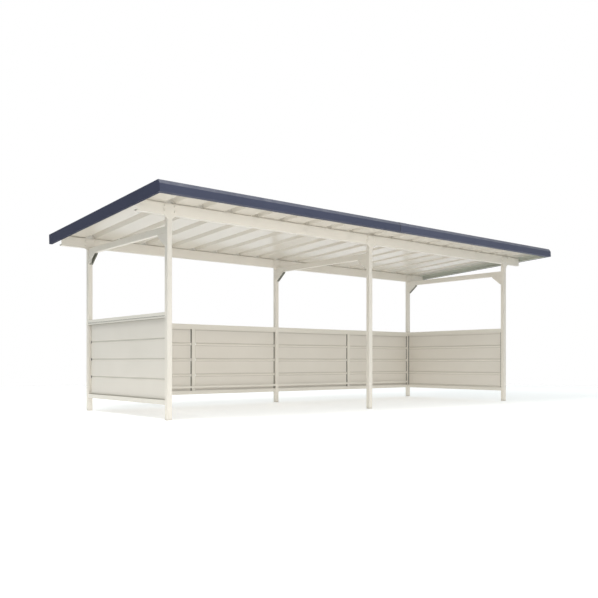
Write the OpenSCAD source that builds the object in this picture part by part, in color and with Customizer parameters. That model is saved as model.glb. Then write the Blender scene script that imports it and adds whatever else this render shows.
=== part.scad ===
// Open bike shelter: a two-bay steel frame of six square posts under a single-pitch
// folded sheet roof, with waist-high boarded panels on both ends and along the rear.
// X runs along the shelter, Y from front to rear, Z up from the ground.

/* [Plan] */
// Distance between neighbouring frames, centre to centre
bay = 2800; // [2400:50:3200]
// Distance between the front and the rear row of posts, centre to centre
post_depth = 1880; // [1500:10:2400]
// Reach of the roof in front of the front row of posts
front_overhang = 540; // [350:5:700]
// Reach of the roof behind the rear row of posts
rear_overhang = 250; // [150:5:400]
// Reach of the roof beyond the end frames
side_overhang = 392; // [300:1:450]

/* [Posts] */
// Height of the rear posts
rear_post_h = 1920; // [1700:10:2400]
// Fall of the roof from the front row of posts to the rear row
roof_fall = 102; // [40:2:200]
// Outside width of the square post tube
post_w = 55; // [50:1:75]
// Wall of the post tube
post_t = 2.3; // [1.6:0.1:4.5]
// Inner corner radius of the post tube
post_r = 3; // [1:0.5:6]
// Width of the head plate that holds the girders
plate_w = 150; // [110:2:180]
// Distance of the top of the head plate below the top of the girder
plate_top_gap = 8; // [4:1:40]
// Length of the front head plate down the post
plate_drop = 60; // [45:1:120]
// Length over which the head plate narrows to the post
plate_neck = 35; // [15:1:40]
// Cut corner at the top of the head plate
plate_chamfer = 25; // [5:1:40]
// Thickness of the head plate
plate_t = 4.5; // [3.2:0.1:6]

/* [Girders and cross-beams] */
// Depth of the lipped channel girder
girder_h = 115; // [100:1:150]
// Width of the girder flange
girder_w = 50; // [40:1:65]
// Lip of the girder
girder_lip = 20; // [10:1:25]
// Thickness of the girder steel
girder_t = 2.3; // [1.6:0.1:3.2]
// Inner radius of the girder's bends
girder_r = 3; // [1:0.5:4]
// Depth of the cross-beam tube
beam_h = 68; // [60:1:100]
// Width of the cross-beam tube and of the knee brackets
beam_w = 45; // [35:1:50]
// Wall of the cross-beam tube
beam_t = 2.3; // [1.6:0.1:3.2]
// Inner corner radius of the cross-beam tube
beam_r = 3; // [1:0.5:6]
// Length of a knee bracket along the cross-beam
gusset_run = 155; // [100:5:250]
// Height of a knee bracket down the post
gusset_drop = 125; // [100:5:250]
// Square end of a knee bracket's cheeks
gusset_toe = 14; // [8:1:30]
// Thickness of the knee bracket steel
gusset_t = 3.2; // [2.3:0.1:4.5]

/* [Roof sheets] */
// Height of a rib above the flats
rib_h = 48; // [30:1:60]
// Width of a rib where it leaves the flats
rib_base = 112; // [90:1:140]
// Width of the crest of a rib
rib_crest = 42; // [30:1:60]
// Thickness of the sheet
sheet_t = 1; // [0.6:0.1:1.6]
// Inner radius of the roll-formed bends of the sheet
sheet_r = 3; // [1:0.5:5]
// Thickness of the folded seats that carry the ribs on the girders
seat_t = 5; // [3.2:0.1:8]
// Width of a folded seat, across the girder
seat_w = 30; // [20:1:40]
// Room between the outermost crest and the face of the verge
verge_room = 21; // [8:1:30]
// Distance of the sheet's rear edge from the rear end of the verge
eave_setback = 10; // [2:1:30]

/* [Fascia] */
// Reach of the fascia below the flats of the roof
fascia_drop = 62; // [40:1:80]
// Width of the flanges turned in behind the fascia
fascia_flange = 64; // [64:1:80]
// Width of the flange turned in at the foot of the verge
verge_foot = 38; // [30:1:80]
// Lip turned up at the edge of the bottom flange
fascia_lip = 12; // [6:1:20]
// Height of the sloping band along the top of the front fascia
band_rise = 40; // [20:1:60]
// Set-back of the sloping band along the top of the front fascia
band_run = 25; // [10:1:40]
// Thickness of the fascia sheet
fascia_t = 1.6; // [0.8:0.1:2.3]
// Inner radius of the bends of the fascia
fascia_r = 2; // [0.5:0.5:3]

/* [Panels] */
// Gap under the panels
panel_clear = 152; // [80:2:250]
// Height of the top of the panels
panel_top = 1071; // [900:1:1200]
// Depth of the cap rail at the ends
cap_h = 57; // [45:1:80]
// Depth of the cap rail along the rear
rear_cap_h = 66; // [45:1:80]
// Depth of the wider head of the cap rail
cap_head = 34; // [15:1:40]
// Step from the head of the cap rail to its skirt
cap_step = 5; // [2:0.5:6]
// Depth of the sill rail
sill_h = 47; // [35:1:60]
// Thickness of the cap and sill steel
rail_t = 1.6; // [1:0.1:2.3]
// Thickness of the steel of the wall boards
board_t = 1.2; // [0.8:0.1:2]
// Inner radius of the bends of the wall boards
board_r = 2; // [0.5:0.5:3]
// Width of the groove at a seam of the boards
groove_w = 30; // [24:1:50]
// Width of the floor of the groove
groove_floor = 12; // [8:1:16]
// Depth of the groove
groove_d = 7; // [4:0.5:8]
// Gap between the ends of the boards and a post or stud
board_end_gap = 12; // [4:1:20]
// Set-back of the end boards from the outer face of the posts
end_board_inset = 34; // [20:1:36]
// Set-back of the rear boards from the outer face of the posts
rear_board_inset = 22; // [12:1:26]
// Width of the stud in a rear bay
stud_w = 50; // [30:1:60]
// Distance of the centre of the stud from the middle of its bay
stud_shift = 25; // [-60:1:60]
// Wall of the stud
stud_t = 1.6; // [1.2:0.1:2.3]
// Inner corner radius of the stud tube
stud_r = 2; // [1:0.5:4]
// Set-back of the stud from the inner face of the posts
stud_inset = 13; // [10:1:14]
// Height of the top of the low rail in the rear bays
low_rail_top = 262; // [230:1:400]
// Depth of the low rail's front
low_rail_h = 28; // [20:1:50]

/* [Hidden] */
// Clearance where a sloping face passes over an edge, and between folded pieces
seat_gap = 0.3;
// Gap between two lengths that are joined end to end
joint_gap = 2;
// Clearance of the girder ends from the verge flange
girder_end_gap = 3;
// Room between the front edge of the roof sheet and the fascia
sheet_front_gap = 3;
// Room between the head of the boards and the inside of the cap rail
board_head_gap = 6;
// Set-back of the cap and sill rails from the faces of the posts
rail_inset = 0.5;
// Overrun of cutting shapes
over = 5;
// Flat steps in the arc of a bend
bend_steps = 3;
sheet_count = 6;
ribs_per_sheet = 3;
board_count = 4;

frame_colour = "#e8e0d4";
roof_colour = "#e2dace";
fascia_colour = "#50556a";
panel_colour = "#dfd8cb";

roof_depth = front_overhang + post_depth + rear_overhang;
front_y = front_overhang - roof_depth / 2;
rear_y = roof_depth / 2 - rear_overhang;
front_post_h = rear_post_h + roof_fall;
post_half = post_w / 2;
plate_rise = girder_h - plate_top_gap;
verge_x = bay + side_overhang;

roof_angle = atan(roof_fall / post_depth);
seat_inset = (girder_w - seat_w) / 2;
// Rear edge of the seat on the rear girder, over which the sloping sheet lies closest
seat_edge_y = rear_y - post_half + seat_inset + seat_w;
roof_z = rear_post_h + girder_h + seat_t + seat_gap + seat_edge_y * tan(roof_angle);
crest_top = rib_h + 2 * sheet_t;
fascia_top = crest_top + fascia_t;
eave_front = (fascia_drop * sin(roof_angle) - roof_depth / 2) / cos(roof_angle);
eave_rear = (roof_depth / 2 - fascia_top * sin(roof_angle)) / cos(roof_angle);
sheet_front = eave_front + band_run + fascia_t + sheet_front_gap;
sheet_rear = eave_rear - eave_setback;
sheet_w = 2 * (verge_x - verge_room - rib_crest / 2) / sheet_count;
rib_pitch = sheet_w / ribs_per_sheet;
fascia_joint_x = joint_gap / 2;
fascia_inner_x = verge_x - fascia_t;

beam_top = rear_post_h;
beam_bottom = beam_top - beam_h;
beam_front = front_y + post_half;
beam_rear = rear_y - post_half - plate_t;

rail_w = post_w - 2 * rail_inset;
channel_wall = rail_inset + cap_step + rail_t;
stud_d = post_w - channel_wall - seat_gap - stud_inset;
board_foot = panel_clear + rail_t;
board_head = panel_top - rail_t - board_head_gap;
board_pitch = (panel_top - cap_h - panel_clear - sill_h) / board_count;
first_seam = panel_clear + sill_h + board_pitch;

// Unit vector to the left of the way from a to b
function left_of(a, b) = let (d = (b - a) / norm(b - a)) [-d[1], d[0]];

// The path moved sideways by t, with mitred corners
function shifted(path, t) = [
    for (i = [0 : len(path) - 1])
        let (before = left_of(path[max(i, 1) - 1], path[max(i, 1)]))
        let (next = min(i, len(path) - 2))
        let (after = left_of(path[next], path[next + 1]))
        path[i] + t * (before + after) / (1 + before * after)
];

function reversed(list) = [for (i = [len(list) - 1 : -1 : 0]) list[i]];

// Outline of a thin sheet folded sharply along a path, with its thickness on the left
function folded(path, t) = concat(path, reversed(shifted(path, t)));

function turned(v, angle) = [
    v[0] * cos(angle) - v[1] * sin(angle),
    v[0] * sin(angle) + v[1] * cos(angle)
];

// Arc at the corner p of the way from a to b, on the face that lies off to the left of it.
// Both faces of the sheet bend about one centre, with the radius r on the inside.
function bend(a, p, b, t, r, off) =
    let (before = left_of(a, p), after = left_of(p, b))
    let (angle = atan2(before[0] * after[1] - before[1] * after[0], before * after))
    let (way = sign(angle))
    let (path_r = way > 0 ? r + t : r)
    let (start = p + turned(before, 90) * path_r * tan(abs(angle) / 2))
    let (centre = start + way * path_r * before)
    [for (k = [0 : bend_steps])
        centre - way * (path_r - way * off) * turned(before, angle * k / bend_steps)];

// One face of a bent sheet, off to the left of its path
function bent_face(path, t, r, off) =
    let (last = len(path) - 1)
    concat(
        [path[0] + off * left_of(path[0], path[1])],
        [for (i = [1 : last - 1]) each bend(path[i - 1], path[i], path[i + 1], t, r, off)],
        [path[last] + off * left_of(path[last - 1], path[last])]
    );

// Outline of a sheet bent along a path, with its thickness on the left
function bent(path, t, r) = concat(bent_face(path, t, r, 0), reversed(bent_face(path, t, r, t)));

// Rectangle with round corners, about its centre
module rounded(w, d, r) {
    square([w, d - 2 * r], center = true);
    square([w - 2 * r, d], center = true);
    for (x = [-1, 1], y = [-1, 1])
        translate([x * (w / 2 - r), y * (d / 2 - r)])
            circle(r);
}

// Section of a rectangular tube with the wall t, rounded by r on the inside
module tube_section(w, d, t, r) {
    difference() {
        rounded(w, d, r + t);
        rounded(w - 2 * t, d - 2 * t, r);
    }
}

// A section drawn in Y and Z, run along X
module run_x(x, length) {
    translate([x, 0, 0])
        rotate([90, 0, 90])
            linear_extrude(length)
                children();
}

// A section drawn in X and Z, run along Y
module run_y(y, length) {
    translate([0, y + length, 0])
        rotate([90, 0, 0])
            linear_extrude(length)
                children();
}

// Places flat roof work on the slope, with the underside of the flats at zero height
module on_roof() {
    translate([0, 0, roof_z])
        rotate([-roof_angle, 0, 0])
            children();
}

// Plate on the front face of a post that rises in front of the girder
module head_plate(drop) {
    side = [
        [post_half, -drop],
        [post_half, -plate_neck],
        [plate_w / 2, 0],
        [plate_w / 2, plate_rise - plate_chamfer],
        [plate_w / 2 - plate_chamfer, plate_rise]
    ];
    run_y(-post_half - plate_t, plate_t)
        polygon(concat(side, reversed([for (p = side) [-p[0], p[1]]])));
}

module post(x, y, h, drop) {
    weld = [post_w - 2 * post_r - 2 * post_t, (plate_t + post_t) / 2, drop];
    color(frame_colour)
        translate([x, y, 0])
            union() {
                linear_extrude(h)
                    tube_section(post_w, post_w, post_t, post_r);
                translate([0, 0, h])
                    head_plate(drop);
                translate([-weld[0] / 2, -post_half - plate_t / 2, h - drop])
                    cube(weld);
            }
}

module front_post(side) {
    post(side * bay, front_y, front_post_h, plate_drop);
}

module rear_post(side) {
    post(side * bay, rear_y, rear_post_h, beam_h + gusset_drop);
}

// Sides of one rib, from the flats up to its crest and down again
function rib(x, h) = [
    [x - rib_base / 2, 0],
    [x - rib_crest / 2, h],
    [x + rib_crest / 2, h],
    [x + rib_base / 2, 0]
];

// Underside of the folded seat on half a roof: level feet on the girder between the first and
// the last rib, and the form of each rib between them, one seat's thickness under the sheet
function seat_path() =
    let (half = sheet_count * ribs_per_sheet / 2, depth = seat_t + seat_gap)
    let (ribs = [for (i = [1 : half - 1]) each rib(i * rib_pitch, rib_h)])
    let (foot = rib_base / 2)
    let (under_sheet = concat([[foot, 0]], ribs, [[half * rib_pitch - foot, 0]]))
    [for (p = shifted(under_sheet, -depth)) p + [0, depth]];

// Lipped channel on the post heads, from the middle frame out to one verge, with the folded
// seat of the roof sheets welded along its top
module girder(side, y, z) {
    length = verge_x - verge_foot - girder_end_gap - joint_gap / 2;
    start = side > 0 ? joint_gap / 2 : -joint_gap / 2 - length;
    path = [
        [girder_w, girder_h - girder_lip],
        [girder_w, girder_h],
        [0, girder_h],
        [0, 0],
        [girder_w, 0],
        [girder_w, girder_lip]
    ];
    color(frame_colour)
        translate([0, y - post_half, z])
            union() {
                run_x(start, length)
                    polygon(bent(path, girder_t, girder_r));
                mirror([side < 0 ? 1 : 0, 0, 0])
                    translate([0, 0, girder_h])
                        run_y(seat_inset, seat_w)
                            polygon(bent(seat_path(), seat_t, sheet_r));
            }
}

// Level tube between the front and the rear post of a frame
module cross_beam(side) {
    color(frame_colour)
        translate([side * bay, 0, beam_bottom + beam_h / 2])
            run_y(beam_front, beam_rear - beam_front)
                tube_section(beam_w, beam_h, beam_t, beam_r);
}

// Pressed knee bracket under the end of a cross-beam, open along its slope
module gusset(side, y, way) {
    cheek = [
        [0, 0],
        [gusset_run, 0],
        [gusset_run, -gusset_toe],
        [gusset_toe, -gusset_drop],
        [0, -gusset_drop]
    ];
    hollow = [beam_w - 2 * gusset_t, gusset_run, gusset_drop];
    color(frame_colour)
        translate([side * bay, y, beam_bottom])
            mirror([0, way < 0 ? 1 : 0, 0])
                difference() {
                    run_x(-beam_w / 2, beam_w)
                        polygon(cheek);
                    translate([gusset_t - beam_w / 2, gusset_t, -gusset_t - gusset_drop])
                        cube(hollow);
                }
}

// Underside of one folded sheet across its width. Its first crest lies under the
// last crest of the neighbour, which is one thickness higher.
function first_rib() = [
    [seat_gap + sheet_t + sheet_r - rib_crest / 2, rib_h],
    [rib_crest / 2, rib_h],
    [rib_base / 2, 0]
];

function last_rib() = [
    [sheet_w - rib_base / 2, 0],
    [sheet_w - rib_crest / 2, rib_h + sheet_t],
    [sheet_w + rib_crest / 2, rib_h + sheet_t]
];

module roof_sheet(index) {
    inner = [for (i = [1 : ribs_per_sheet - 1]) each rib(i * rib_pitch, rib_h)];
    path = concat(first_rib(), inner, last_rib());
    color(roof_colour)
        on_roof()
            translate([(index - sheet_count / 2) * sheet_w, 0, 0])
                run_y(sheet_front, sheet_rear - sheet_front)
                    polygon(bent(path, sheet_t, sheet_r));
}

// Fascia along the front eave, from the joint in the middle out to one verge
module front_fascia(side) {
    length = fascia_inner_x - seat_gap - fascia_joint_x;
    path = [
        [fascia_flange, fascia_top],
        [band_run, fascia_top],
        [0, fascia_top - band_rise],
        [0, -fascia_drop],
        [fascia_flange, -fascia_drop],
        [fascia_flange, fascia_lip - fascia_drop]
    ];
    color(fascia_colour)
        on_roof()
            mirror([side < 0 ? 1 : 0, 0, 0])
                translate([0, eave_front, 0])
                    run_x(fascia_joint_x, length)
                        polygon(bent(path, fascia_t, fascia_r));
}

// Fascia up one end of the roof. Its face covers the end of the front fascia, and its
// flanges begin behind those of the front fascia.
module verge_fascia(side) {
    path = [
        [verge_x - verge_foot, fascia_lip - fascia_drop],
        [verge_x - verge_foot, -fascia_drop],
        [verge_x, -fascia_drop],
        [verge_x, fascia_top],
        [verge_x - fascia_flange, fascia_top]
    ];
    band_cut = [
        [0, fascia_top - band_rise],
        [band_run, fascia_top],
        [band_run, fascia_top + over],
        [-over, fascia_top + over],
        [-over, fascia_top - band_rise]
    ];
    notch_x = fascia_inner_x - fascia_flange - over;
    notch_h = fascia_drop + fascia_top + 2 * over;
    color(fascia_colour)
        on_roof()
            mirror([side < 0 ? 1 : 0, 0, 0])
                difference() {
                    run_y(eave_front, eave_rear - eave_front)
                        polygon(bent(path, fascia_t, fascia_r));
                    translate([0, eave_front, 0])
                        run_x(fascia_inner_x - over, fascia_t + 2 * over)
                            polygon(band_cut);
                    translate([notch_x, eave_front - over, -fascia_drop - over])
                        cube([fascia_flange + over, fascia_flange + seat_gap + over, notch_h]);
                }
}

// Section of the cap rail: an inverted channel with a wider head, set from its outer face
module cap_section(h) {
    path = [
        [rail_w - cap_step, -h],
        [rail_w - cap_step, -cap_head],
        [rail_w, -cap_head],
        [rail_w, 0],
        [0, 0],
        [0, -cap_head],
        [cap_step, -cap_head],
        [cap_step, -h]
    ];
    translate([rail_inset - post_half, panel_top])
        polygon(folded(path, rail_t));
}

// Section of the sill rail: an upright channel in which the boards and the stud stand
module sill_section() {
    path = [
        [cap_step, sill_h],
        [cap_step, 0],
        [rail_w - cap_step, 0],
        [rail_w - cap_step, sill_h]
    ];
    translate([rail_inset - post_half, panel_clear])
        polygon(folded(path, rail_t));
}

// Section of a stack of boards: one formed sheet, with a groove in its outer face at each seam
// that stands out as a bead on the inside
module board_section() {
    seams = [for (i = [0 : board_count - 2]) first_seam + i * board_pitch];
    path = [
        [0, board_foot],
        each [for (z = seams) each [
            [0, z - groove_w / 2],
            [-groove_d, z - groove_floor / 2],
            [-groove_d, z + groove_floor / 2],
            [0, z + groove_w / 2]
        ]],
        [0, board_head]
    ];
    polygon(bent(path, board_t, board_r));
}

end_run = post_depth - post_w;
bay_run = bay - post_w;

module end_cap(side) {
    color(panel_colour)
        translate([side * bay, 0, 0])
            run_y(front_y + post_half, end_run)
                cap_section(cap_h);
}

module end_sill(side) {
    color(panel_colour)
        translate([side * bay, 0, 0])
            run_y(front_y + post_half, end_run)
                sill_section();
}

module end_boards(side) {
    color(panel_colour)
        mirror([side < 0 ? 1 : 0, 0, 0])
            translate([bay + post_half - end_board_inset, 0, 0])
                run_y(front_y + post_half + board_end_gap, end_run - 2 * board_end_gap)
                    board_section();
}

// Left edge of the clear run between two rear posts
function bay_left(side) = (side - 1) * bay / 2 + post_half;

module rear_cap(side) {
    color(panel_colour)
        translate([0, rear_y, 0])
            run_x(bay_left(side), bay_run)
                cap_section(rear_cap_h);
}

module rear_sill(side) {
    color(panel_colour)
        translate([0, rear_y, 0])
            run_x(bay_left(side), bay_run)
                sill_section();
}

// Two stacks of boards, one on each side of the stud
module rear_boards(side) {
    half = (bay_run - stud_w) / 2;
    runs = [[0, half + stud_shift], [half + stud_shift + stud_w, half - stud_shift]];
    color(panel_colour)
        translate([0, rear_y + post_half - rear_board_inset, 0])
            for (run = runs)
                run_x(bay_left(side) + run[0] + board_end_gap, run[1] - 2 * board_end_gap)
                    board_section();
}

module rear_stud(side) {
    centre_y = rear_y - post_half + stud_inset + stud_d / 2;
    color(panel_colour)
        translate([bay_left(side) + bay_run / 2 + stud_shift, centre_y, board_foot])
            linear_extrude(panel_top - panel_clear - 2 * rail_t)
                tube_section(stud_w, stud_d, stud_t, stud_r);
}

// Angle along the foot of a rear bay, fixed to the posts and to the face of the stud
module rear_low_rail(side) {
    path = [
        [stud_inset, 0],
        [rail_inset, 0],
        [rail_inset, -low_rail_h]
    ];
    color(panel_colour)
        translate([0, rear_y - post_half, low_rail_top])
            run_x(bay_left(side), bay_run)
                polygon(folded(path, rail_t));
}

front_post(-1);  // front_left_post
front_post(0);  // front_middle_post
front_post(1);  // front_right_post
rear_post(-1);  // rear_left_post
rear_post(0);  // rear_middle_post
rear_post(1);  // rear_right_post
girder(-1, front_y, front_post_h);  // front_left_girder
girder(1, front_y, front_post_h);  // front_right_girder
girder(-1, rear_y, rear_post_h);  // rear_left_girder
girder(1, rear_y, rear_post_h);  // rear_right_girder
cross_beam(-1);  // left_cross_beam
cross_beam(0);  // middle_cross_beam
cross_beam(1);  // right_cross_beam
gusset(-1, beam_front, 1);  // left_front_gusset
gusset(0, beam_front, 1);  // middle_front_gusset
gusset(1, beam_front, 1);  // right_front_gusset
gusset(-1, beam_rear, -1);  // left_rear_gusset
gusset(0, beam_rear, -1);  // middle_rear_gusset
gusset(1, beam_rear, -1);  // right_rear_gusset
roof_sheet(0);  // roof_sheet_1
roof_sheet(1);  // roof_sheet_2
roof_sheet(2);  // roof_sheet_3
roof_sheet(3);  // roof_sheet_4
roof_sheet(4);  // roof_sheet_5
roof_sheet(5);  // roof_sheet_6
front_fascia(-1);  // front_left_fascia
front_fascia(1);  // front_right_fascia
verge_fascia(-1);  // left_verge_fascia
verge_fascia(1);  // right_verge_fascia
end_boards(-1);  // left_end_boards
end_cap(-1);  // left_end_cap
end_sill(-1);  // left_end_sill
end_boards(1);  // right_end_boards
end_cap(1);  // right_end_cap
end_sill(1);  // right_end_sill
rear_boards(-1);  // rear_left_boards
rear_cap(-1);  // rear_left_cap
rear_sill(-1);  // rear_left_sill
rear_stud(-1);  // rear_left_stud
rear_low_rail(-1);  // rear_left_low_rail
rear_boards(1);  // rear_right_boards
rear_cap(1);  // rear_right_cap
rear_sill(1);  // rear_right_sill
rear_stud(1);  // rear_right_stud
rear_low_rail(1);  // rear_right_low_rail
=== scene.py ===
"""Looks of an open bike shelter: cream posts and panels under a ribbed roof with a slate fascia."""

import math

import bmesh
import bpy
import numpy as np
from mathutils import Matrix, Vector


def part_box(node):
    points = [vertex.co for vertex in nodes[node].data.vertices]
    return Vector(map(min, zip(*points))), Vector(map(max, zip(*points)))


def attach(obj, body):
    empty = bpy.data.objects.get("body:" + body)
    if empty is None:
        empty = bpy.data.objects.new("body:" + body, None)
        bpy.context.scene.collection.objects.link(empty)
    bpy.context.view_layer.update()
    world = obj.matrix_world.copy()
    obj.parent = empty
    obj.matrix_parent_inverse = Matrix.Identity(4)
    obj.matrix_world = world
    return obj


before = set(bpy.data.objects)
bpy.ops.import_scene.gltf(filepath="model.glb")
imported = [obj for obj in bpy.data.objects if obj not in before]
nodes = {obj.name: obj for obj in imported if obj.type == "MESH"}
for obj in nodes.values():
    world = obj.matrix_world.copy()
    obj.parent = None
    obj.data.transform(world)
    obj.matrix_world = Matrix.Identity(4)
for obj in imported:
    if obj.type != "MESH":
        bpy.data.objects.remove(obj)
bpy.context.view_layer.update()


# Posts
# Six square cold-formed steel tubes, each with a bolt plate welded across the front of its
# head. They are powder coated in cream after welding and stand straight on the ground.

MM = 0.001
FRAMES = ("left", "middle", "right")
ROWS = ("front", "rear")
FRAME_CREAM = "#EAE5DC"
FRAME_CREAM_SHADE = "#E3DED3"
COAT_DRIFT_MM = 420
COAT_SMOOTHEST = 0.36
COAT_ROUGHEST = 0.50
PEEL_MM = 7
PEEL_STRENGTH = 0.12
PEEL_DEPTH = 0.4 * MM
PAINT_IOR = 1.5
# Sockets of a Mix node for colours: its factor, its two colours, and its result on the other side
FACTOR, COLOUR, OTHER_COLOUR, MIXED = 0, 6, 7, 2


def linear(hex_colour):
    """sRGB hex to linear: a channel is divided by 12.92 near black, and elsewhere it is the sum
    of itself and 0.055, divided by 1.055, to the power of 2.4."""
    channel = np.array([int(hex_colour[i:i + 2], 16) for i in (1, 3, 5)]) / 255
    bright = ((channel + 0.055) / 1.055) ** 2.4
    return (*np.where(channel <= 0.04045, channel / 12.92, bright).tolist(), 1.0)


def per(size_mm):
    """Scale of a pattern whose features are that many millimetres across."""
    return 1 / (size_mm * MM)


def node(tree, kind, inputs, **settings):
    """Adds a node with its settings. An input that is given a socket is linked, else it is set."""
    made = tree.nodes.new(kind)
    for name, value in settings.items():
        setattr(made, name, value)
    for key, value in inputs.items():
        if isinstance(value, bpy.types.NodeSocket):
            tree.links.new(value, made.inputs[key])
        else:
            made.inputs[key].default_value = value
    return made


def finish_material(name):
    """An empty node tree of a new material, and its Object coordinates in metres."""
    material = bpy.data.materials.new(name)
    material.use_nodes = True
    tree = material.node_tree
    tree.nodes.clear()
    place = node(tree, "ShaderNodeTexCoord", {}).outputs["Object"]
    return material, tree, place


def powder_coat(name, colour, shade, hollow=None):
    """Powder-coated steel: baked polyester that flows into a soft orange peel. The eye sees a
    satin skin with a wide faint highlight and a slow drift in tone from the coat's thickness.
    A hollow is a shade colour, a spacing and a reach: faces within that reach of lines at that
    spacing along X, the insides of the brackets, take that colour as painted shade."""
    material, tree, place = finish_material(name)
    drift = node(
        tree, "ShaderNodeTexNoise",
        {"Vector": place, "Scale": per(COAT_DRIFT_MM), "Detail": 3.0},
    )
    tone = node(
        tree, "ShaderNodeMix",
        {FACTOR: drift.outputs["Fac"], COLOUR: linear(colour), OTHER_COLOUR: linear(shade)},
        data_type="RGBA",
    )
    coat = tone.outputs[MIXED]
    # Painted shade: faces inside a hollow take the grey shade colour.
    if hollow:
        hollow_shade, spacing, reach = hollow
        along = node(tree, "ShaderNodeSeparateXYZ", {"Vector": place}).outputs["X"]
        off = node(
            tree, "ShaderNodeMath", {0: along, 1: spacing / 2, 2: -spacing / 2},
            operation="WRAP",
        )
        apart = node(tree, "ShaderNodeMath", {0: off.outputs["Value"]}, operation="ABSOLUTE")
        inside = node(
            tree, "ShaderNodeMath", {0: apart.outputs["Value"], 1: reach},
            operation="LESS_THAN",
        )
        coat = node(
            tree, "ShaderNodeMix",
            {FACTOR: inside.outputs["Value"], COLOUR: coat, OTHER_COLOUR: linear(hollow_shade)},
            data_type="RGBA",
        ).outputs[MIXED]
    gloss = node(
        tree, "ShaderNodeMapRange",
        {"Value": drift.outputs["Fac"], "To Min": COAT_SMOOTHEST, "To Max": COAT_ROUGHEST},
    )
    # Real orange peel is 2 to 3 mm across, drawn at 7 mm so that it shows at all.
    peel = node(
        tree, "ShaderNodeTexNoise", {"Vector": place, "Scale": per(PEEL_MM), "Detail": 1.0},
    )
    bump = node(
        tree, "ShaderNodeBump",
        {"Strength": PEEL_STRENGTH, "Distance": PEEL_DEPTH, "Height": peel.outputs["Fac"]},
    )
    skin = node(
        tree, "ShaderNodeBsdfPrincipled",
        {
            "Base Color": coat, "Roughness": gloss.outputs["Result"],
            "IOR": PAINT_IOR, "Normal": bump.outputs["Normal"],
        },
    )
    node(tree, "ShaderNodeOutputMaterial", {"Surface": skin.outputs["BSDF"]})
    return material


def dress(names, material):
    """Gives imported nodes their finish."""
    for name in names:
        nodes[name].data.materials.clear()
        nodes[name].data.materials.append(material)


frame_coat = powder_coat("cream_powder_coated_steel", FRAME_CREAM, FRAME_CREAM_SHADE)
dress([f"{row}_{side}_post" for row in ROWS for side in FRAMES], frame_coat)


# Girders
# Four lengths of roll-formed lipped channel, laid end to end on the post heads with their
# backs to the front. Painted hexagon bolts clamp each end to the plate on a post, and their
# nuts behind are zinc plated.

GIRDER_WEB = 2.3 * MM
BOLT_REACH = 56 * MM
BOLT_DROPS = (20 * MM, 70 * MM)
FACETS = 24
ZINC_GREY = "#D6D4CD"
ZINC_DULL = "#BDBBB3"
ZINC_PATCH_MM = 6
ZINC_SMOOTHEST = 0.32
ZINC_ROUGHEST = 0.55
MERGE_WITHIN = 0.001 * MM
# Rings of a turned part: radius and height in millimetres, and share of hexagon in the outline
BOLT_RINGS = (
    (0, 0, 0), (10.5, 0, 0), (10.5, 2, 0), (8.5, 2, 1), (8.5, 8, 1), (8.1, 9, 0), (0, 9, 0),
)
NUT_RINGS = (
    (0, 0, 0), (10.5, 0, 0), (10.5, 2, 0), (8.5, 2, 1), (8.5, 9.5, 1), (8.1, 10.5, 0),
    (5, 10.5, 0), (5, 15, 0), (4.2, 16, 0), (0, 16, 0),
)
ALONG_X, ALONG_Y, UP = np.eye(3)


def zinc_plate(name, bright, dull):
    """Zinc-plated steel with a clear passivate: a fine grey spangle that dulls in patches."""
    material, tree, place = finish_material(name)
    # The real spangle is well under 1 mm across, drawn at 6 mm so that it shows.
    patch = node(
        tree, "ShaderNodeTexNoise",
        {"Vector": place, "Scale": per(ZINC_PATCH_MM), "Detail": 4.0},
    )
    tone = node(
        tree, "ShaderNodeMix",
        {FACTOR: patch.outputs["Fac"], COLOUR: linear(bright), OTHER_COLOUR: linear(dull)},
        data_type="RGBA",
    )
    gloss = node(
        tree, "ShaderNodeMapRange",
        {"Value": patch.outputs["Fac"], "To Min": ZINC_SMOOTHEST, "To Max": ZINC_ROUGHEST},
    )
    metal = node(
        tree, "ShaderNodeBsdfPrincipled",
        {
            "Base Color": tone.outputs[MIXED], "Metallic": 1.0,
            "Roughness": gloss.outputs["Result"],
        },
    )
    node(tree, "ShaderNodeOutputMaterial", {"Surface": metal.outputs["BSDF"]})
    return material


def quads(rows, columns):
    """Corners of the faces between the rows of a grid of points: each point, the next in its
    row, and the two above them. The last column meets the first."""
    row, column = np.meshgrid(np.arange(rows - 1), np.arange(columns), indexing="ij")
    beside = (column + 1) % columns
    corners = (row * columns + column, row * columns + beside)
    above = (corners[1] + columns, corners[0] + columns)
    return np.stack(corners + above, axis=-1).reshape(-1, 4)


def turned(rings):
    """A part turned about its axis, in rings by angle. A round ring keeps its radius at every
    angle; a hexagon divides it by the cosine of the angle from the middle of its flat."""
    radius, height, hexagon = np.array(rings, float).T[:, :, None]
    angle = np.arange(FACETS) * (2 * math.pi / FACETS)
    flat = 1 / np.cos(angle % (math.pi / 3) - math.pi / 6)
    reach = MM * radius * (1 + hexagon * (flat - 1))
    rise = MM * height + 0 * angle
    points = np.stack([reach * np.cos(angle), reach * np.sin(angle), rise], axis=-1)
    return points.reshape(-1, 3), quads(len(rings), FACETS)


def placed(shape, places, right, up):
    """Copies of a shape: a point x, y, z goes to its place plus x right, y up and z outwards,
    where outwards is the cross product of right and up, for all copies in one sum."""
    points, faces = shape
    axes = np.array([right, up, np.cross(right, up)], float)
    spread = np.array(places, float)[:, None] + points @ axes
    step = len(points) * np.arange(len(places))[:, None, None]
    return spread.reshape(-1, 3), (faces + step).reshape(-1, 4)


def joined(*shapes):
    """Several shapes as one: the points one after another, and each one's corners moved on."""
    starts = np.cumsum([0] + [len(points) for points, _ in shapes])
    faces = [corners + start for (_, corners), start in zip(shapes, starts)]
    return np.concatenate([points for points, _ in shapes]), np.concatenate(faces)


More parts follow.
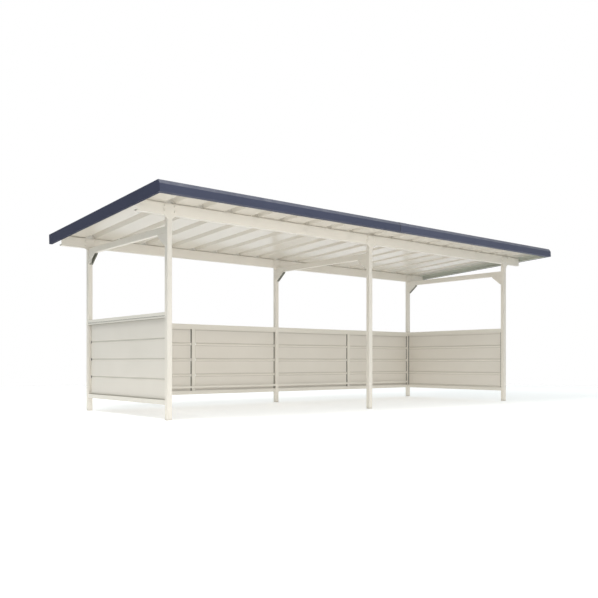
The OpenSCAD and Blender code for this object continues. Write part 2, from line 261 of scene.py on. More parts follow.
def new_piece(name, shape, material):
    """A mesh from points and faces that rides on the frame. Points that coincide, such as those
    of a pole, are merged, and the faces of each closed shell then turn outwards."""
    points, faces = shape
    mesh = bpy.data.meshes.new(name)
    mesh.from_pydata(points.tolist(), [], faces.tolist())
    work = bmesh.new()
    work.from_mesh(mesh)
    bmesh.ops.remove_doubles(work, verts=work.verts, dist=MERGE_WITHIN)
    bmesh.ops.recalc_face_normals(work, faces=work.faces)
    work.to_mesh(mesh)
    work.free()
    mesh.materials.append(material)
    piece = bpy.data.objects.new(name, mesh)
    bpy.context.scene.collection.objects.link(piece)
    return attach(piece, "root")


girder_names = [f"{row}_{side}_girder" for row in ROWS for side in ("left", "right")]
dress(girder_names, frame_coat)
zinc = zinc_plate("zinc_plated_steel", ZINC_GREY, ZINC_DULL)
for row in ROWS:
    heads = []
    for side in FRAMES:
        low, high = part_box(f"{row}_{side}_post")
        middle = (low.x + high.x) / 2
        heads += [
            (middle + reach, low.y, high.z - drop)
            for reach in (-BOLT_REACH, BOLT_REACH) for drop in BOLT_DROPS
        ]
    web_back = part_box(f"{row}_left_girder")[0].y + GIRDER_WEB
    ends = [(x, web_back, z) for x, _, z in heads]
    bolt_shape = placed(turned(BOLT_RINGS), heads, ALONG_X, UP)
    nut_shape = placed(turned(NUT_RINGS), ends, -ALONG_X, UP)
    bolts = new_piece(f"{row}_girder_bolts", bolt_shape, frame_coat)
    new_piece(f"{row}_girder_nuts", nut_shape, zinc)


# Cross-beams and knee brackets
# A level rectangular tube ties each front post to its rear post. Pressed steel brackets under
# both ends are open along their slope, with two bolts to the beam and two to the post inside.

# Grey painted shade inside the hollows of the brackets
HOLLOW_PAINTED_SHADE = "#A2A398"
BRACKET_STEEL = 3.2 * MM
BEAM_BOLTS = (58 * MM, 110 * MM)
POST_BOLTS = (48 * MM, 90 * MM)

dress([f"{side}_cross_beam" for side in FRAMES], frame_coat)
brackets = [(row, f"{side}_{row}_gusset") for row in ROWS for side in FRAMES]
bracket_low, bracket_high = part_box("right_front_gusset")
frame_spacing = (bracket_low.x + bracket_high.x) / 2
wall_middle = (bracket_high.x - bracket_low.x) / 2 - BRACKET_STEEL / 2
bracket_coat = powder_coat(
    "cream_powder_coated_bracket_painted_shade", FRAME_CREAM, FRAME_CREAM_SHADE,
    (HOLLOW_PAINTED_SHADE, frame_spacing, wall_middle),
)
dress([name for _, name in brackets], bracket_coat)
bracket_bolts = []
for row, name in brackets:
    low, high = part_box(name)
    middle, under = (low.x + high.x) / 2, high.z - BRACKET_STEEL
    way = 1 if row == "front" else -1
    foot = low.y if row == "front" else high.y
    to_beam = [(middle, foot + way * run, under) for run in BEAM_BOLTS]
    to_post = [(middle, foot + way * BRACKET_STEEL, high.z - drop) for drop in POST_BOLTS]
    bracket_bolts += [
        placed(turned(BOLT_RINGS), to_beam, ALONG_X, -ALONG_Y),
        placed(turned(BOLT_RINGS), to_post, -way * ALONG_X, UP),
    ]
new_piece("bracket_bolts", joined(*bracket_bolts), zinc)


# Roof sheets
# Six sheets of coil-coated steel, roll-formed into deep ribs and lapped crest over crest. Studs
# on the girders come up through the crests, under a sealing washer and a dome nut cap.

SHEET_CREAM = "#DFD9CE"
SHEET_CREAM_SHADE = "#D8D2C6"
ROOF_DUST = "#C0BBAF"
CAP_GREY = "#C9C7C0"
CAP_GREY_SHADE = "#BFBDB5"
RUBBER_BLACK = "#26272A"
RUBBER_BLACK_SHADE = "#323337"
SHEET_DRIFT_MM = 600
SHEET_ROUGH_SPREAD = 0.12
GRAIN_STRENGTH = 0.10
GRAIN_DEPTH = 0.3 * MM
WAVE_MM = 260
WAVE_STRENGTH = 0.35
WAVE_DEPTH = 1.5 * MM
# Cosines of a face's turn: those at which the back coat starts and is full, and the growth from
# where dust, with the front fascia's painted highlight, starts to where it is thickest
BACK_FROM = 0.6
BACK_FULL = 0.8
DUST_AND_HIGHLIGHT_SPREAD = 0.45
DUST_AND_HIGHLIGHT_SPECK_MM = 90
MOULD_STRENGTH = 0.2
MOULD_DEPTH = 0.2 * MM
POLYMER_IOR = 1.5
SHEET_STEEL = 1.0 * MM
LAP_CREST = 50 * MM
SHEETS = 6
RIBS = 3
CREST_HALF = 21 * MM
GIRDER_LINE = 25 * MM
WASHER_RINGS = ((0, 0, 0), (15, 0, 0), (15, 2.5, 0), (13.5, 3, 0), (0, 3, 0))
CAP_RINGS = (
    (0, 3, 0), (13, 3, 0), (13, 4.5, 0), (10.5, 5.5, 0), (9.8, 12, 0), (8.2, 16, 0),
    (5, 18.6, 0), (2, 19.6, 0), (0, 19.8, 0),
)


def coil_coated_sheet(
    name, colour, shade, dust_and_highlight, dust_and_highlight_from, dust_and_highlight_most, back, grain_mm, rough, sheen,
):
    """Coil-coated steel: paint baked on the flat strip before it is formed. The eye sees an even
    skin, glossy or satin, a slight wave in the flats, dust where a face looks upwards, which on the
    front fascia also stands for a painted highlight, and a plain back coat where an upright face
    looks to the rear or in from an end of the roof."""
    material, tree, place = finish_material(name)
    drift = node(
        tree, "ShaderNodeTexNoise",
        {"Vector": place, "Scale": per(SHEET_DRIFT_MM), "Detail": 2.0},
    )
    tone = node(
        tree, "ShaderNodeMix",
        {FACTOR: drift.outputs["Fac"], COLOUR: linear(colour), OTHER_COLOUR: linear(shade)},
        data_type="RGBA",
    )
    normal = node(tree, "ShaderNodeNewGeometry", {}).outputs["Normal"]
    facing = node(tree, "ShaderNodeSeparateXYZ", {"Vector": normal}).outputs
    half = node(tree, "ShaderNodeVectorMath", {0: place}, operation="SIGN").outputs["Vector"]
    end = node(tree, "ShaderNodeSeparateXYZ", {"Vector": half}).outputs["X"]
    outward = node(tree, "ShaderNodeMath", {0: facing["X"], 1: end}, operation="MULTIPLY")
    inward = node(
        tree, "ShaderNodeMath", {0: 0.0, 1: outward.outputs["Value"]}, operation="SUBTRACT",
    )
    reverse = node(
        tree, "ShaderNodeMath", {0: facing["Y"], 1: inward.outputs["Value"]},
        operation="MAXIMUM",
    )
    turned_in = node(
        tree, "ShaderNodeMapRange",
        {"Value": reverse.outputs["Value"], "From Min": BACK_FROM, "From Max": BACK_FULL},
    )
    sided = node(
        tree, "ShaderNodeMix",
        {
            FACTOR: turned_in.outputs["Result"], COLOUR: tone.outputs[MIXED],
            OTHER_COLOUR: linear(back),
        },
        data_type="RGBA",
    )
    facing_up = node(
        tree, "ShaderNodeMapRange",
        {
            "Value": facing["Z"], "From Min": dust_and_highlight_from, "From Max": dust_and_highlight_from + DUST_AND_HIGHLIGHT_SPREAD,
            "To Max": dust_and_highlight_most,
        },
    )
    specks = node(
        tree, "ShaderNodeTexNoise",
        {"Vector": place, "Scale": per(DUST_AND_HIGHLIGHT_SPECK_MM), "Detail": 6.0},
    )
    dust_and_highlight_share = node(
        tree, "ShaderNodeMath", {0: facing_up.outputs["Result"], 1: specks.outputs["Fac"]},
        operation="MULTIPLY",
    )
    dust_and_highlight_tone = node(
        tree, "ShaderNodeMix",
        {
            FACTOR: dust_and_highlight_share.outputs["Value"], COLOUR: sided.outputs[MIXED],
            OTHER_COLOUR: linear(dust_and_highlight),
        },
        data_type="RGBA",
    )
    gloss = node(
        tree, "ShaderNodeMapRange",
        {"Value": drift.outputs["Fac"], "To Min": rough, "To Max": rough + SHEET_ROUGH_SPREAD},
    )
    # The real grain of the paint is about 1 mm across, drawn at 4 or 5 mm so that it shows.
    grain = node(
        tree, "ShaderNodeTexNoise", {"Vector": place, "Scale": per(grain_mm), "Detail": 2.0},
    )
    fine = node(
        tree, "ShaderNodeBump",
        {"Strength": GRAIN_STRENGTH, "Distance": GRAIN_DEPTH, "Height": grain.outputs["Fac"]},
    )
    wave = node(
        tree, "ShaderNodeTexNoise", {"Vector": place, "Scale": per(WAVE_MM), "Detail": 0.0},
    )
    bump = node(
        tree, "ShaderNodeBump",
        {
            "Strength": WAVE_STRENGTH, "Distance": WAVE_DEPTH, "Height": wave.outputs["Fac"],
            "Normal": fine.outputs["Normal"],
        },
    )
    skin = node(
        tree, "ShaderNodeBsdfPrincipled",
        {
            "Base Color": dust_and_highlight_tone.outputs[MIXED], "Roughness": gloss.outputs["Result"],
            "IOR": PAINT_IOR, "Specular IOR Level": sheen, "Normal": bump.outputs["Normal"],
        },
    )
    node(tree, "ShaderNodeOutputMaterial", {"Surface": skin.outputs["BSDF"]})
    return material


def moulded(name, colour, shade, rough, grain_mm):
    """A moulded polymer, such as rubber or nylon: one dull body colour with a fine tool grain."""
    material, tree, place = finish_material(name)
    # The real grain of the mould is well under 1 mm, drawn at 2 or 3 mm so that it shows.
    grain = node(
        tree, "ShaderNodeTexNoise", {"Vector": place, "Scale": per(grain_mm), "Detail": 3.0},
    )
    tone = node(
        tree, "ShaderNodeMix",
        {FACTOR: grain.outputs["Fac"], COLOUR: linear(colour), OTHER_COLOUR: linear(shade)},
        data_type="RGBA",
    )
    bump = node(
        tree, "ShaderNodeBump",
        {"Strength": MOULD_STRENGTH, "Distance": MOULD_DEPTH, "Height": grain.outputs["Fac"]},
    )
    body = node(
        tree, "ShaderNodeBsdfPrincipled",
        {
            "Base Color": tone.outputs[MIXED], "Roughness": rough, "IOR": POLYMER_IOR,
            "Normal": bump.outputs["Normal"],
        },
    )
    node(tree, "ShaderNodeOutputMaterial", {"Surface": body.outputs["BSDF"]})
    return material


sheet_names = [f"roof_sheet_{number}" for number in range(1, SHEETS + 1)]
sheet_paint = coil_coated_sheet(
    "cream_coil_coated_sheet", SHEET_CREAM, SHEET_CREAM_SHADE, ROOF_DUST, dust_and_highlight_from=0.55,
    dust_and_highlight_most=0.45, back=SHEET_CREAM, grain_mm=5, rough=0.12, sheen=0.5,
)
dress(sheet_names, sheet_paint)

front_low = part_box("front_left_girder")[0]
rear_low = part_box("rear_left_girder")[0]
slope = math.atan2(front_low.z - rear_low.z, rear_low.y - front_low.y)
sheet_low, sheet_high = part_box(sheet_names[0])
roof_foot = sheet_high.z - LAP_CREST * math.cos(slope)


def on_roof(x, run, rise):
    """A place on the slope: run is measured down the sheet from its front edge, and rise square
    to it from the underside of the flats; both are turned by the roof's angle."""
    y = sheet_low.y + run * math.cos(slope) + rise * math.sin(slope)
    return x, y, roof_foot - run * math.sin(slope) + rise * math.cos(slope)


sheet_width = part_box(sheet_names[1])[0].x - sheet_low.x
last_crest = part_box(sheet_names[-1])[1].x - CREST_HALF
crests = last_crest - np.arange(1, SHEETS * RIBS) * sheet_width / RIBS
roof_out = np.array([0, math.sin(slope), math.cos(slope)])
down_roof = np.cross(roof_out, ALONG_X)
studs = []
for line in (front_low, rear_low):
    run = (line.y + GIRDER_LINE - sheet_low.y) / math.cos(slope)
    single = LAP_CREST - SHEET_STEEL
    studs += [
        on_roof(x, run, single if number % RIBS else LAP_CREST)
        for number, x in enumerate(crests, 1)
    ]
rubber = moulded(
    "black_epdm_rubber", RUBBER_BLACK, RUBBER_BLACK_SHADE, rough=0.75, grain_mm=2,
)
nylon = moulded("grey_nylon_cap", CAP_GREY, CAP_GREY_SHADE, rough=0.5, grain_mm=3)
washer_shape = placed(turned(WASHER_RINGS), studs, ALONG_X, down_roof)
cap_shape = placed(turned(CAP_RINGS), studs, ALONG_X, down_roof)
new_piece("roof_sealing_washers", washer_shape, rubber)
new_piece("roof_bolt_caps", cap_shape, nylon)


# Fascia
# Pressed steel trim in slate grey round the front and both ends of the roof, the ends drawn a shade
# darker as painted shade. Two front lengths meet under a cover plate; the right one is paler,
# partly in its own paint and partly as a painted reflection. A bead of black rubber along the
# cover's left edge is partly a painted shadow line. Painted screws hold the top flange.

SLATE = "#464B60"
SLATE_SHADE = "#404559"
# The right length is paler, partly in its own paint and partly as a painted reflection.
PALER_RIGHT_SLATE_AND_REFLECTION = "#4F5469"
PALER_RIGHT_SLATE_AND_REFLECTION_TONE = "#494E62"
# The verge slate is darker than the front's as painted shade.
PAINTED_SHADE_VERGE = "#3A3E52"
PAINTED_SHADE_VERGE_TONE = "#35394B"
# Dust colour, which on the front lengths also gives a painted highlight on upward faces
SLATE_DUST_AND_HIGHLIGHT = "#8E9098"
BACK_COAT = "#E2E6DB"
FASCIA_STEEL = 1.6 * MM
FASCIA_DROP = 62 * MM
FASCIA_FLANGE = 64 * MM
BAND_RISE = 40 * MM
BAND_RUN = 25 * MM
SHEET_SETBACK = 29.6 * MM
COVER_LEFT = -20 * MM
COVER_RIGHT = 105 * MM
COVER_STEEL = 1.0 * MM
COVER_TAIL = 8 * MM
BEAD_AND_SHADOW_WIDTH = 8 * MM
SCREW_RUN = 18 * MM
SCREW_RINGS = (
    (0, 0, 0), (7, 0, 0), (7, 1.2, 0), (4, 1.2, 1), (4, 4.6, 1), (3.6, 5, 0), (0, 5, 0),
)
VERGE_SCREWS = 6
# First and last screw along a verge, as shares of its depth
FIRST_SCREW_SHARE = 0.1
LAST_SCREW_SHARE = 0.96

# On the front lengths the dust rises higher on upward faces such as the top band, partly as a
# painted highlight.
slate_paint, right_slate_and_reflection_paint = (
    coil_coated_sheet(
        name, colour, shade, SLATE_DUST_AND_HIGHLIGHT, dust_and_highlight_from=0.2, dust_and_highlight_most=0.72, back=BACK_COAT,
        grain_mm=4, rough=0.48, sheen=0.22,
    )
    for name, colour, shade in (
        ("slate_coil_coated_sheet", SLATE, SLATE_SHADE),
        ("right_slate_coil_coated_sheet_and_painted_reflection", PALER_RIGHT_SLATE_AND_REFLECTION, PALER_RIGHT_SLATE_AND_REFLECTION_TONE),
    )
)
# The verges are drawn darker as painted shade.
verge_in_painted_shade = coil_coated_sheet(
    "slate_coil_coated_verge_painted_shade", PAINTED_SHADE_VERGE, PAINTED_SHADE_VERGE_TONE, SLATE_DUST_AND_HIGHLIGHT, dust_and_highlight_from=0.2,
    dust_and_highlight_most=0.45, back=BACK_COAT, grain_mm=4, rough=0.52, sheen=0.06,
)
dress(["front_left_fascia"], slate_paint)
dress(["front_right_fascia"], right_slate_and_reflection_paint)
dress(["left_verge_fascia", "right_verge_fascia"], verge_in_painted_shade)

fascia_top = LAP_CREST + FASCIA_STEEL


def strip(profile, start, end):
    """A profile of run and rise on the roof, carried straight along X from start to end: each
    pair of neighbouring points gives one face."""
    run, rise = np.array(profile).T[:, :, None]
    points = np.broadcast_arrays(*on_roof(np.array([start, end]), run, rise))
    first = 2 * np.arange(len(profile) - 1)
    faces = np.stack([first, first + 1, first + 3, first + 2], axis=-1)
    return np.stack(points, axis=-1).reshape(-1, 3), faces


cover_line = [
    (COVER_TAIL, fascia_top),
    (BAND_RUN - SHEET_SETBACK, fascia_top),
    (-SHEET_SETBACK, fascia_top - BAND_RISE),
    (-SHEET_SETBACK, -FASCIA_DROP),
    (FASCIA_FLANGE - SHEET_SETBACK, -FASCIA_DROP),
]
cover_shape = strip(cover_line, COVER_LEFT, COVER_RIGHT)
cover = new_piece("fascia_joint_cover", cover_shape, right_slate_and_reflection_paint)
# The dark bead is partly a joint bead and partly a painted shadow line along the cover's edge.
joint_shape = strip(cover_line, COVER_LEFT - BEAD_AND_SHADOW_WIDTH, COVER_LEFT)
bead_and_shadow_at_joint = new_piece("fascia_joint_bead", joint_shape, rubber)
for piece in (cover, bead_and_shadow_at_joint):
    thicken = piece.modifiers.new("thickness", "SOLIDIFY")
    thicken.thickness = COVER_STEEL
    thicken.offset = 1
    thicken.use_even_offset = True

front_screws = [on_roof(x, SCREW_RUN, fascia_top) for x in crests]
verge_low, verge_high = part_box("right_verge_fascia")
verge_shares = np.linspace(FIRST_SCREW_SHARE, LAST_SCREW_SHARE, VERGE_SCREWS)
verge_runs = verge_shares * (verge_high.y - verge_low.y)
verge_screws = [
    on_roof(x, run, fascia_top) for run in verge_runs
    for x in (-last_crest, last_crest)
]
screws = placed(turned(SCREW_RINGS), front_screws + verge_screws, ALONG_X, down_roof)
new_piece("fascia_screws", screws, slate_paint)


# Panels
# Waist-high walls on both ends and along the rear: grooved boards stand in a sill channel under
# a stepped cap rail, with a stud near the middle of each rear bay and a low rail along its foot.
# The boards are coated and embossed steel siding, and the rails are powder coated.

RAIL_CREAM = "#E9E5DC"
RAIL_CREAM_SHADE = "#E1DDD2"
BOARD_CREAM = "#E6E1D8"
BOARD_CREAM_SHADE = "#DED9CF"
# Colour of the painted shade at the seams
SEAM_PAINTED_SHADE = "#C2BDB2"
BOARD_DRIFT_MM = 500
BOARD_ROUGHNESS = 0.5
STUCCO_MM = 8
STUCCO_STRENGTH = 0.18
STUCCO_DEPTH = 0.5 * MM
GROOVE_SHADE_RISE = 3 * MM
GROOVE_SHADE_HALF = 4 * MM
FOOT_SHADE_OFF = 18 * MM
FOOT_SHADE_HALF = 2 * MM
# Sockets of a Mix node for numbers: its two numbers, and its result on the other side
NUMBER, OTHER_NUMBER, MIXED_NUMBER = 2, 3, 0
BOARDS = 4
ENDS = ("left_end", "right_end")
BAYS = ("rear_left", "rear_right")


def embossed_board(name, colour, shade, seam_shade, seam, pitch):
    """Coated steel siding with a shallow stucco emboss. The eye sees a soft broken sheen over an
    even colour that drifts a little from board to board. Painted shade darkens the grooves at the
    seams, which repeat at the pitch, and a thin line along both feet of the beads on their inside."""
    material, tree, place = finish_material(name)
    drift = node(
        tree, "ShaderNodeTexNoise",
        {"Vector": place, "Scale": per(BOARD_DRIFT_MM), "Detail": 2.0},
    )
    tone = node(
        tree, "ShaderNodeMix",
        {FACTOR: drift.outputs["Fac"], COLOUR: linear(colour), OTHER_COLOUR: linear(shade)},
        data_type="RGBA",
    )
    level = node(tree, "ShaderNodeSeparateXYZ", {"Vector": place}).outputs["Z"]
    near = node(
        tree, "ShaderNodeMath", {0: level, 1: seam + pitch / 2, 2: seam - pitch / 2},
        operation="WRAP",
    )
    above = node(
        tree, "ShaderNodeMath", {0: near.outputs["Value"], 1: seam}, operation="SUBTRACT",
    )

    def shade_line(height, middle, half):
        """1 within the half width of a line about a height, falling to 0 at twice that."""
        off = node(tree, "ShaderNodeMath", {0: height, 1: middle}, operation="SUBTRACT")
        apart = node(tree, "ShaderNodeMath", {0: off.outputs["Value"]}, operation="ABSOLUTE")
        return node(
            tree, "ShaderNodeMapRange",
            {
                "Value": apart.outputs["Value"], "From Min": half, "From Max": 2 * half,
                "To Min": 1.0, "To Max": 0.0,
            },
        ).outputs["Result"]

    # Painted shade: dark lines in the grooves outside and along the feet of the beads inside.
    beside = node(tree, "ShaderNodeMath", {0: above.outputs["Value"]}, operation="ABSOLUTE")
    groove = shade_line(above.outputs["Value"], GROOVE_SHADE_RISE, GROOVE_SHADE_HALF)
    feet = shade_line(beside.outputs["Value"], FOOT_SHADE_OFF, FOOT_SHADE_HALF)
    normal = node(tree, "ShaderNodeNewGeometry", {}).outputs["Normal"]
    facing = node(tree, "ShaderNodeSeparateXYZ", {"Vector": normal}).outputs
    half = node(tree, "ShaderNodeVectorMath", {0: place}, operation="SIGN").outputs["Vector"]
    end = node(tree, "ShaderNodeSeparateXYZ", {"Vector": half}).outputs["X"]
    outward = node(
        tree, "ShaderNodeMath", {0: facing["X"], 1: end, 2: facing["Y"]},
        operation="MULTIPLY_ADD",
    )
    outside = node(
        tree, "ShaderNodeMath", {0: outward.outputs["Value"], 1: 0.0},
        operation="GREATER_THAN",
    )
    lines = node(
        tree, "ShaderNodeMix",
        {FACTOR: outside.outputs["Value"], NUMBER: feet, OTHER_NUMBER: groove},
        data_type="FLOAT",
    )
    lined = node(
        tree, "ShaderNodeMix",
        {
            FACTOR: lines.outputs[MIXED_NUMBER], COLOUR: tone.outputs[MIXED],
            OTHER_COLOUR: linear(seam_shade),
        },
        data_type="RGBA",
    )
    # The real stucco is about 3 mm across, drawn at 8 mm so that it shows.
    stucco = node(
        tree, "ShaderNodeTexVoronoi", {"Vector": place, "Scale": per(STUCCO_MM)},
        feature="SMOOTH_F1",
    )
    bump = node(
        tree, "ShaderNodeBump",
        {
            "Strength": STUCCO_STRENGTH, "Distance": STUCCO_DEPTH,
            "Height": stucco.outputs["Distance"],
        },
    )
    skin = node(
        tree, "ShaderNodeBsdfPrincipled",
        {
            "Base Color": lined.outputs[MIXED], "Roughness": BOARD_ROUGHNESS, "IOR": PAINT_IOR,
            "Normal": bump.outputs["Normal"],
        },
    )
    node(tree, "ShaderNodeOutputMaterial", {"Surface": skin.outputs["BSDF"]})
    return material


rail_coat = powder_coat("cream_powder_coated_rail", RAIL_CREAM, RAIL_CREAM_SHADE)
sill_top, cap_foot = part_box("left_end_sill")[1].z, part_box("left_end_cap")[0].z
seams = np.linspace(sill_top, cap_foot, BOARDS + 1)[1:-1]
board_skin = embossed_board(
    "cream_embossed_siding", BOARD_CREAM, BOARD_CREAM_SHADE, SEAM_PAINTED_SHADE,
    seam=seams[0], pitch=seams[1] - seams[0],
)
dress([f"{panel}_boards" for panel in ENDS + BAYS], board_skin)
rail_names = [f"{panel}_{rail}" for panel in ENDS + BAYS for rail in ("cap", "sill")]
rail_names += [f"{bay}_{rail}" for bay in BAYS for rail in ("stud", "low_rail")]
dress(rail_names, rail_coat)


# Lengths of extruded rubber that close the gap between the ends of the boards and the posts or
# studs, some cream and some dark grey; the dark grey is painted shade in the gaps. At the ends a
# dark plug of painted shade stands where a groove runs out, and a thin dark strip below the head of
# the cap outside is a painted shadow of that head.

GAP_SHADE_GREY = "#5F5F5B"
GAP_SHADE_GREY_TONE = "#6B6A66"
SEAL_CREAM = "#CFCABD"
SEAL_CREAM_SHADE = "#C6C1B4"
SEAL_PLAY = 0.3 * MM
SEAL_HALF_DEPTH = 2.5 * MM
SEAL_POINTS = 20
SEAL_SQUARENESS = 0.5
SEAM_HALF = 17 * MM
CAP_STEP = 5 * MM
CAP_HEAD = 34 * MM
CAP_SHADOW_HALF_RISE = 1.6 * MM
CAP_SHADOW_HALF_RUN = 2 * MM


def bulb(centre, half_x, half_y, bottom, top):
    """An upright seal: a superellipse, whose x and y are signed powers of the cosine and sine,
    carried from bottom to top and drawn in to its middle at both ends."""
    angle = np.arange(SEAL_POINTS) * (2 * math.pi / SEAL_POINTS)
    across, along = np.cos(angle), np.sin(angle)
    x = centre[0] + half_x * np.sign(across) * np.abs(across) ** SEAL_SQUARENESS
    y = centre[1] + half_y * np.sign(along) * np.abs(along) ** SEAL_SQUARENESS
    middle = (np.full_like(x, centre[0]), np.full_like(y, centre[1]))
    rings = [(*middle, bottom), (x, y, bottom), (x, y, top), (*middle, top)]
    points = np.stack([np.stack([u, v, np.full_like(u, z)], axis=-1) for u, v, z in rings])
    return points.reshape(-1, 3), quads(len(rings), SEAL_POINTS)


# The dark grey rubber stands in as painted shade in the gaps.
painted_shade_rubber = moulded("grey_epdm_rubber_painted_shade", GAP_SHADE_GREY, GAP_SHADE_GREY_TONE, rough=0.7, grain_mm=2)
seal_pale = moulded("cream_epdm_rubber", SEAL_CREAM, SEAL_CREAM_SHADE, rough=0.7, grain_mm=2)


def beside_boards(bottom, top):
    """Lower and upper end of the seal at each board, with half a seam's width left free."""
    return list(zip([bottom, *(seams + SEAM_HALF)], [*(seams - SEAM_HALF), top]))


for panel in ENDS:
    low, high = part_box(f"{panel}_boards")
    cap_low, cap_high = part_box(f"{panel}_cap")
    half = (low.y - cap_low.y) / 2
    face = high.x - SEAL_HALF_DEPTH if panel == "right_end" else low.x + SEAL_HALF_DEPTH
    lines = [(face, y) for y in (cap_low.y + half, cap_high.y - half)]
    strips = beside_boards(low.z, high.z)
    groove_end_shade = [(seam - SEAM_HALF, seam + SEAM_HALF) for seam in seams]
    for name, spans, rubber_kind in (("seals", strips, seal_pale), ("groove_end_shade", groove_end_shade, painted_shade_rubber)):
        shapes = [
            bulb(line, SEAL_HALF_DEPTH, half - SEAL_PLAY, *span)
            for line in lines for span in spans
        ]
        new_piece(f"{panel}_edge_{name}", joined(*shapes), rubber_kind)
    # Dark strips deeper in the gaps at the ends: painted shade.
    inner = face - math.copysign(2 * SEAL_HALF_DEPTH, face)
    backs = [bulb((inner, y), SEAL_HALF_DEPTH, half - SEAL_PLAY, low.z, high.z) for _, y in lines]
    new_piece(f"{panel}_inner_painted_shade", joined(*backs), painted_shade_rubber)
    # A thin dark strip under the cap's head: painted shadow.
    cap_head_shadow = bulb((0, 0), CAP_SHADOW_HALF_RISE, CAP_SHADOW_HALF_RUN, 0, cap_high.y - cap_low.y)
    under = cap_high.z - CAP_HEAD - CAP_SHADOW_HALF_RISE
    skirt = cap_high.x - CAP_STEP if panel == "right_end" else cap_low.x + CAP_STEP
    outside = skirt + math.copysign(CAP_SHADOW_HALF_RUN, skirt)
    cap_shadow_shape = placed(cap_head_shadow, [(outside, cap_low.y, under)], UP, ALONG_X)
    new_piece(f"{panel}_cap_head_shadow", cap_shadow_shape, painted_shade_rubber)

for panel in BAYS:
    low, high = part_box(f"{panel}_boards")
    cap_low, cap_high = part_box(f"{panel}_cap")
    stud_low, stud_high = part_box(f"{panel}_stud")
    half = (low.x - cap_low.x) / 2
    right_ends = (stud_low.x - half, cap_high.x - half)
    left_ends = (cap_low.x + half, stud_high.x + half)
    # The dark grey seals on the right of each gap are painted shade.
    sides = (("right", right_ends, painted_shade_rubber), ("left", left_ends, seal_pale))
    for name, gaps, rubber_kind in sides:
        shapes = [
            bulb((x, high.y - SEAL_HALF_DEPTH), half - SEAL_PLAY, SEAL_HALF_DEPTH, *span)
            for x in gaps for span in beside_boards(low.z, high.z)
        ]
        new_piece(f"{panel}_{name}_edge_seals", joined(*shapes), rubber_kind)


# Rail screws
# Painted pan-head screws that hold the cap, sill and low rails near their ends, and the low rail
# to its stud.

PAN_RINGS = (
    (0, 0, 0), (5, 0, 0), (5, 0.8, 0), (4.6, 1.9, 0), (3.4, 2.8, 0), (1.6, 3.2, 0),
    (1.4, 1.8, 0), (0, 1.8, 0),
)
SCREW_END = 28 * MM
CAP_SCREW_DROP = 45 * MM
SILL_SCREW_RISE = 24 * MM
RAIL_STEPS = (("cap", CAP_STEP), ("sill", 0))


def screw_height(rail, low, high):
    """Height of a rail's screws: down from the top of a cap, or up from the foot of a sill."""
    return high.z - CAP_SCREW_DROP if rail == "cap" else low.z + SILL_SCREW_RISE


pan_heads = []
for end in ENDS:
    for rail, step in RAIL_STEPS:
        low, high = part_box(f"{end}_{rail}")
        z = screw_height(rail, low, high)
        for y in (low.y + SCREW_END, high.y - SCREW_END):
            pan_heads += [
                placed(turned(PAN_RINGS), [(low.x + step, y, z)], -ALONG_Y, UP),
                placed(turned(PAN_RINGS), [(high.x - step, y, z)], ALONG_Y, UP),
            ]
for bay in BAYS:
    for rail, step in RAIL_STEPS:
        low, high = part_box(f"{bay}_{rail}")
        z = screw_height(rail, low, high)
        for x in (low.x + SCREW_END, high.x - SCREW_END):
            pan_heads += [
                placed(turned(PAN_RINGS), [(x, low.y + step, z)], ALONG_X, UP),
                placed(turned(PAN_RINGS), [(x, high.y - step, z)], -ALONG_X, UP),
            ]
    low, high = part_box(f"{bay}_low_rail")
    stud = sum(corner.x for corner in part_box(f"{bay}_stud")) / 2
    middle = (low.z + high.z) / 2
    across = [(x, low.y, middle) for x in (low.x + SCREW_END, stud, high.x - SCREW_END)]
    pan_heads.append(placed(turned(PAN_RINGS), across, ALONG_X, UP))
new_piece("rail_screws", joined(*pan_heads), rail_coat)


# Floor and background
# A plain pale matt floor that takes the shelter's shadow and fades into a white background. Rays
# that show it get a share of plain white, which lights nothing.

FLOOR_PALE = "#F1F2F3"
FLOOR_WHITE = 0.36
FLOOR_HALF = 40.0
FADE_START = 5.0
FADE_END = 12.0
SKY_HIGH = 0.765
SKY_LOW = 0.445
# Heights of a line of sight, as the sine of its angle, between which the light grows
SKY_GROWS_FROM = 0.4
SKY_GROWS_TO = 0.6
SKY_TINT = "#F9FFFE"

corner = np.array([(-1, -1, 0), (1, -1, 0), (1, 1, 0), (-1, 1, 0)]) * FLOOR_HALF
floor_mesh = bpy.data.meshes.new("floor")
floor_mesh.from_pydata(corner.tolist(), [], [(0, 1, 2, 3)])
floor = bpy.data.objects.new("floor", floor_mesh)
bpy.context.scene.collection.objects.link(floor)


def shown(tree):
    """1 for rays that show a thing to the camera, straight or by mirror or glass, and 0 for
    those that carry light."""
    ray = node(tree, "ShaderNodeLightPath", {}).outputs
    seen = node(
        tree, "ShaderNodeMath", {0: ray["Is Camera Ray"], 1: ray["Is Glossy Ray"]},
        operation="ADD",
    )
    return node(
        tree, "ShaderNodeMath", {0: seen.outputs["Value"], 1: ray["Is Transmission Ray"]},
        operation="ADD", use_clamp=True,
    ).outputs["Value"]


floor_paint, tree, place = finish_material("pale_matt_floor")
matt = node(tree, "ShaderNodeBsdfDiffuse", {"Color": linear(FLOOR_PALE)})
share = node(tree, "ShaderNodeMath", {0: shown(tree), 1: FLOOR_WHITE}, operation="MULTIPLY")
glow = node(tree, "ShaderNodeEmission", {"Strength": share.outputs["Value"]})
lit = node(tree, "ShaderNodeAddShader", {0: matt.outputs["BSDF"], 1: glow.outputs["Emission"]})
clear = node(tree, "ShaderNodeBsdfTransparent", {})
reach = node(tree, "ShaderNodeVectorMath", {0: place}, operation="LENGTH")
fade = node(
    tree, "ShaderNodeMapRange",
    {"Value": reach.outputs["Value"], "From Min": FADE_START, "From Max": FADE_END},
    interpolation_type="SMOOTHSTEP",
)
blend = node(
    tree, "ShaderNodeMixShader",
    {0: fade.outputs["Result"], 1: lit.outputs["Shader"], 2: clear.outputs["BSDF"]},
)
node(tree, "ShaderNodeOutputMaterial", {"Surface": blend.outputs["Shader"]})
floor_mesh.materials.append(floor_paint)

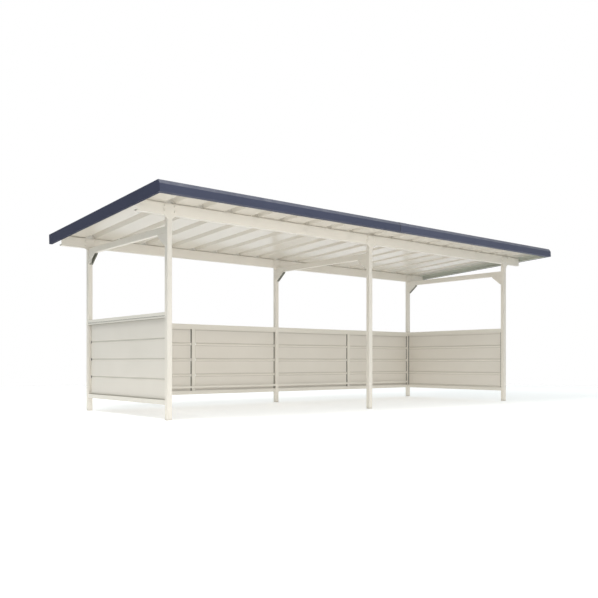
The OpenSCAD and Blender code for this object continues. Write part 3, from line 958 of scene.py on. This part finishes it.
world = bpy.data.worlds.new("white_studio")
bpy.context.scene.world = world
world.use_nodes = True
tree = world.node_tree
tree.nodes.clear()
look = node(tree, "ShaderNodeTexCoord", {}).outputs["Generated"]
height = node(tree, "ShaderNodeSeparateXYZ", {"Vector": look}).outputs["Z"]
level = node(
    tree, "ShaderNodeMapRange",
    {
        "Value": height, "From Min": SKY_GROWS_FROM, "From Max": SKY_GROWS_TO,
        "To Min": SKY_LOW, "To Max": SKY_HIGH,
    },
)
sky = node(
    tree, "ShaderNodeBackground", {"Color": linear(SKY_TINT), "Strength": level.outputs["Result"]},
)
white = node(tree, "ShaderNodeBackground", {"Color": (1, 1, 1, 1), "Strength": 1.0})
studio = node(
    tree, "ShaderNodeMixShader",
    {0: shown(tree), 1: sky.outputs["Background"], 2: white.outputs["Background"]},
)
node(tree, "ShaderNodeOutputWorld", {"Surface": studio.outputs["Shader"]})


# Lamps
# Broad softboxes low at the front and high at the left, and a panel on the floor that sends
# light up under the roof as a pale floor does.

LAMP_TINT = "#FFFAF7"
# Place, target and size in metres, and power in watts
LAMPS = {
    "front_lamp": ((-1.6, -6.4, 1.5), (-0.8, 0.0, 1.5), (4.0, 2.5), 98.0),
    "left_lamp": ((-5.2, -1.5, 8.5), (-2.5, 0.0, 0.8), (3.5, 4.0), 396.0),
    "floor_panel": ((0.0, 0.0, 0.02), (0.0, 0.0, 3.0), (6.6, 3.0), 25.0),
}

for name, (place, target, size, power) in LAMPS.items():
    lamp = bpy.data.objects.new(name, bpy.data.lights.new(name, "AREA"))
    lamp.data.shape = "RECTANGLE"
    lamp.data.size, lamp.data.size_y = size
    lamp.data.energy = power
    lamp.data.color = linear(LAMP_TINT)[:3]
    lamp.location = place
    lamp.rotation_euler = (Vector(target) - Vector(place)).to_track_quat("-Z", "Y").to_euler()
    lamp.visible_camera = False
    lamp.visible_glossy = name != "floor_panel"
    bpy.context.scene.collection.objects.link(lamp)


# Camera
# A level view from the front left at sitting height. Its frame is shifted up to the roof, so
# that upright edges stay upright.

CAMERA_PLACE = (-6.353, -7.116, 0.5785)
CAMERA_TURN = math.radians(39.585)
CAMERA_LENS = 43.52
CAMERA_SHIFT = 0.105

camera = bpy.data.objects.new("camera", bpy.data.cameras.new("camera"))
camera.location = CAMERA_PLACE
camera.rotation_euler = (math.pi / 2, 0, -CAMERA_TURN)
camera.data.lens = CAMERA_LENS
camera.data.shift_y = CAMERA_SHIFT
bpy.context.scene.collection.objects.link(camera)
bpy.context.scene.camera = camera
bpy.context.scene.view_settings.view_transform = "Standard"
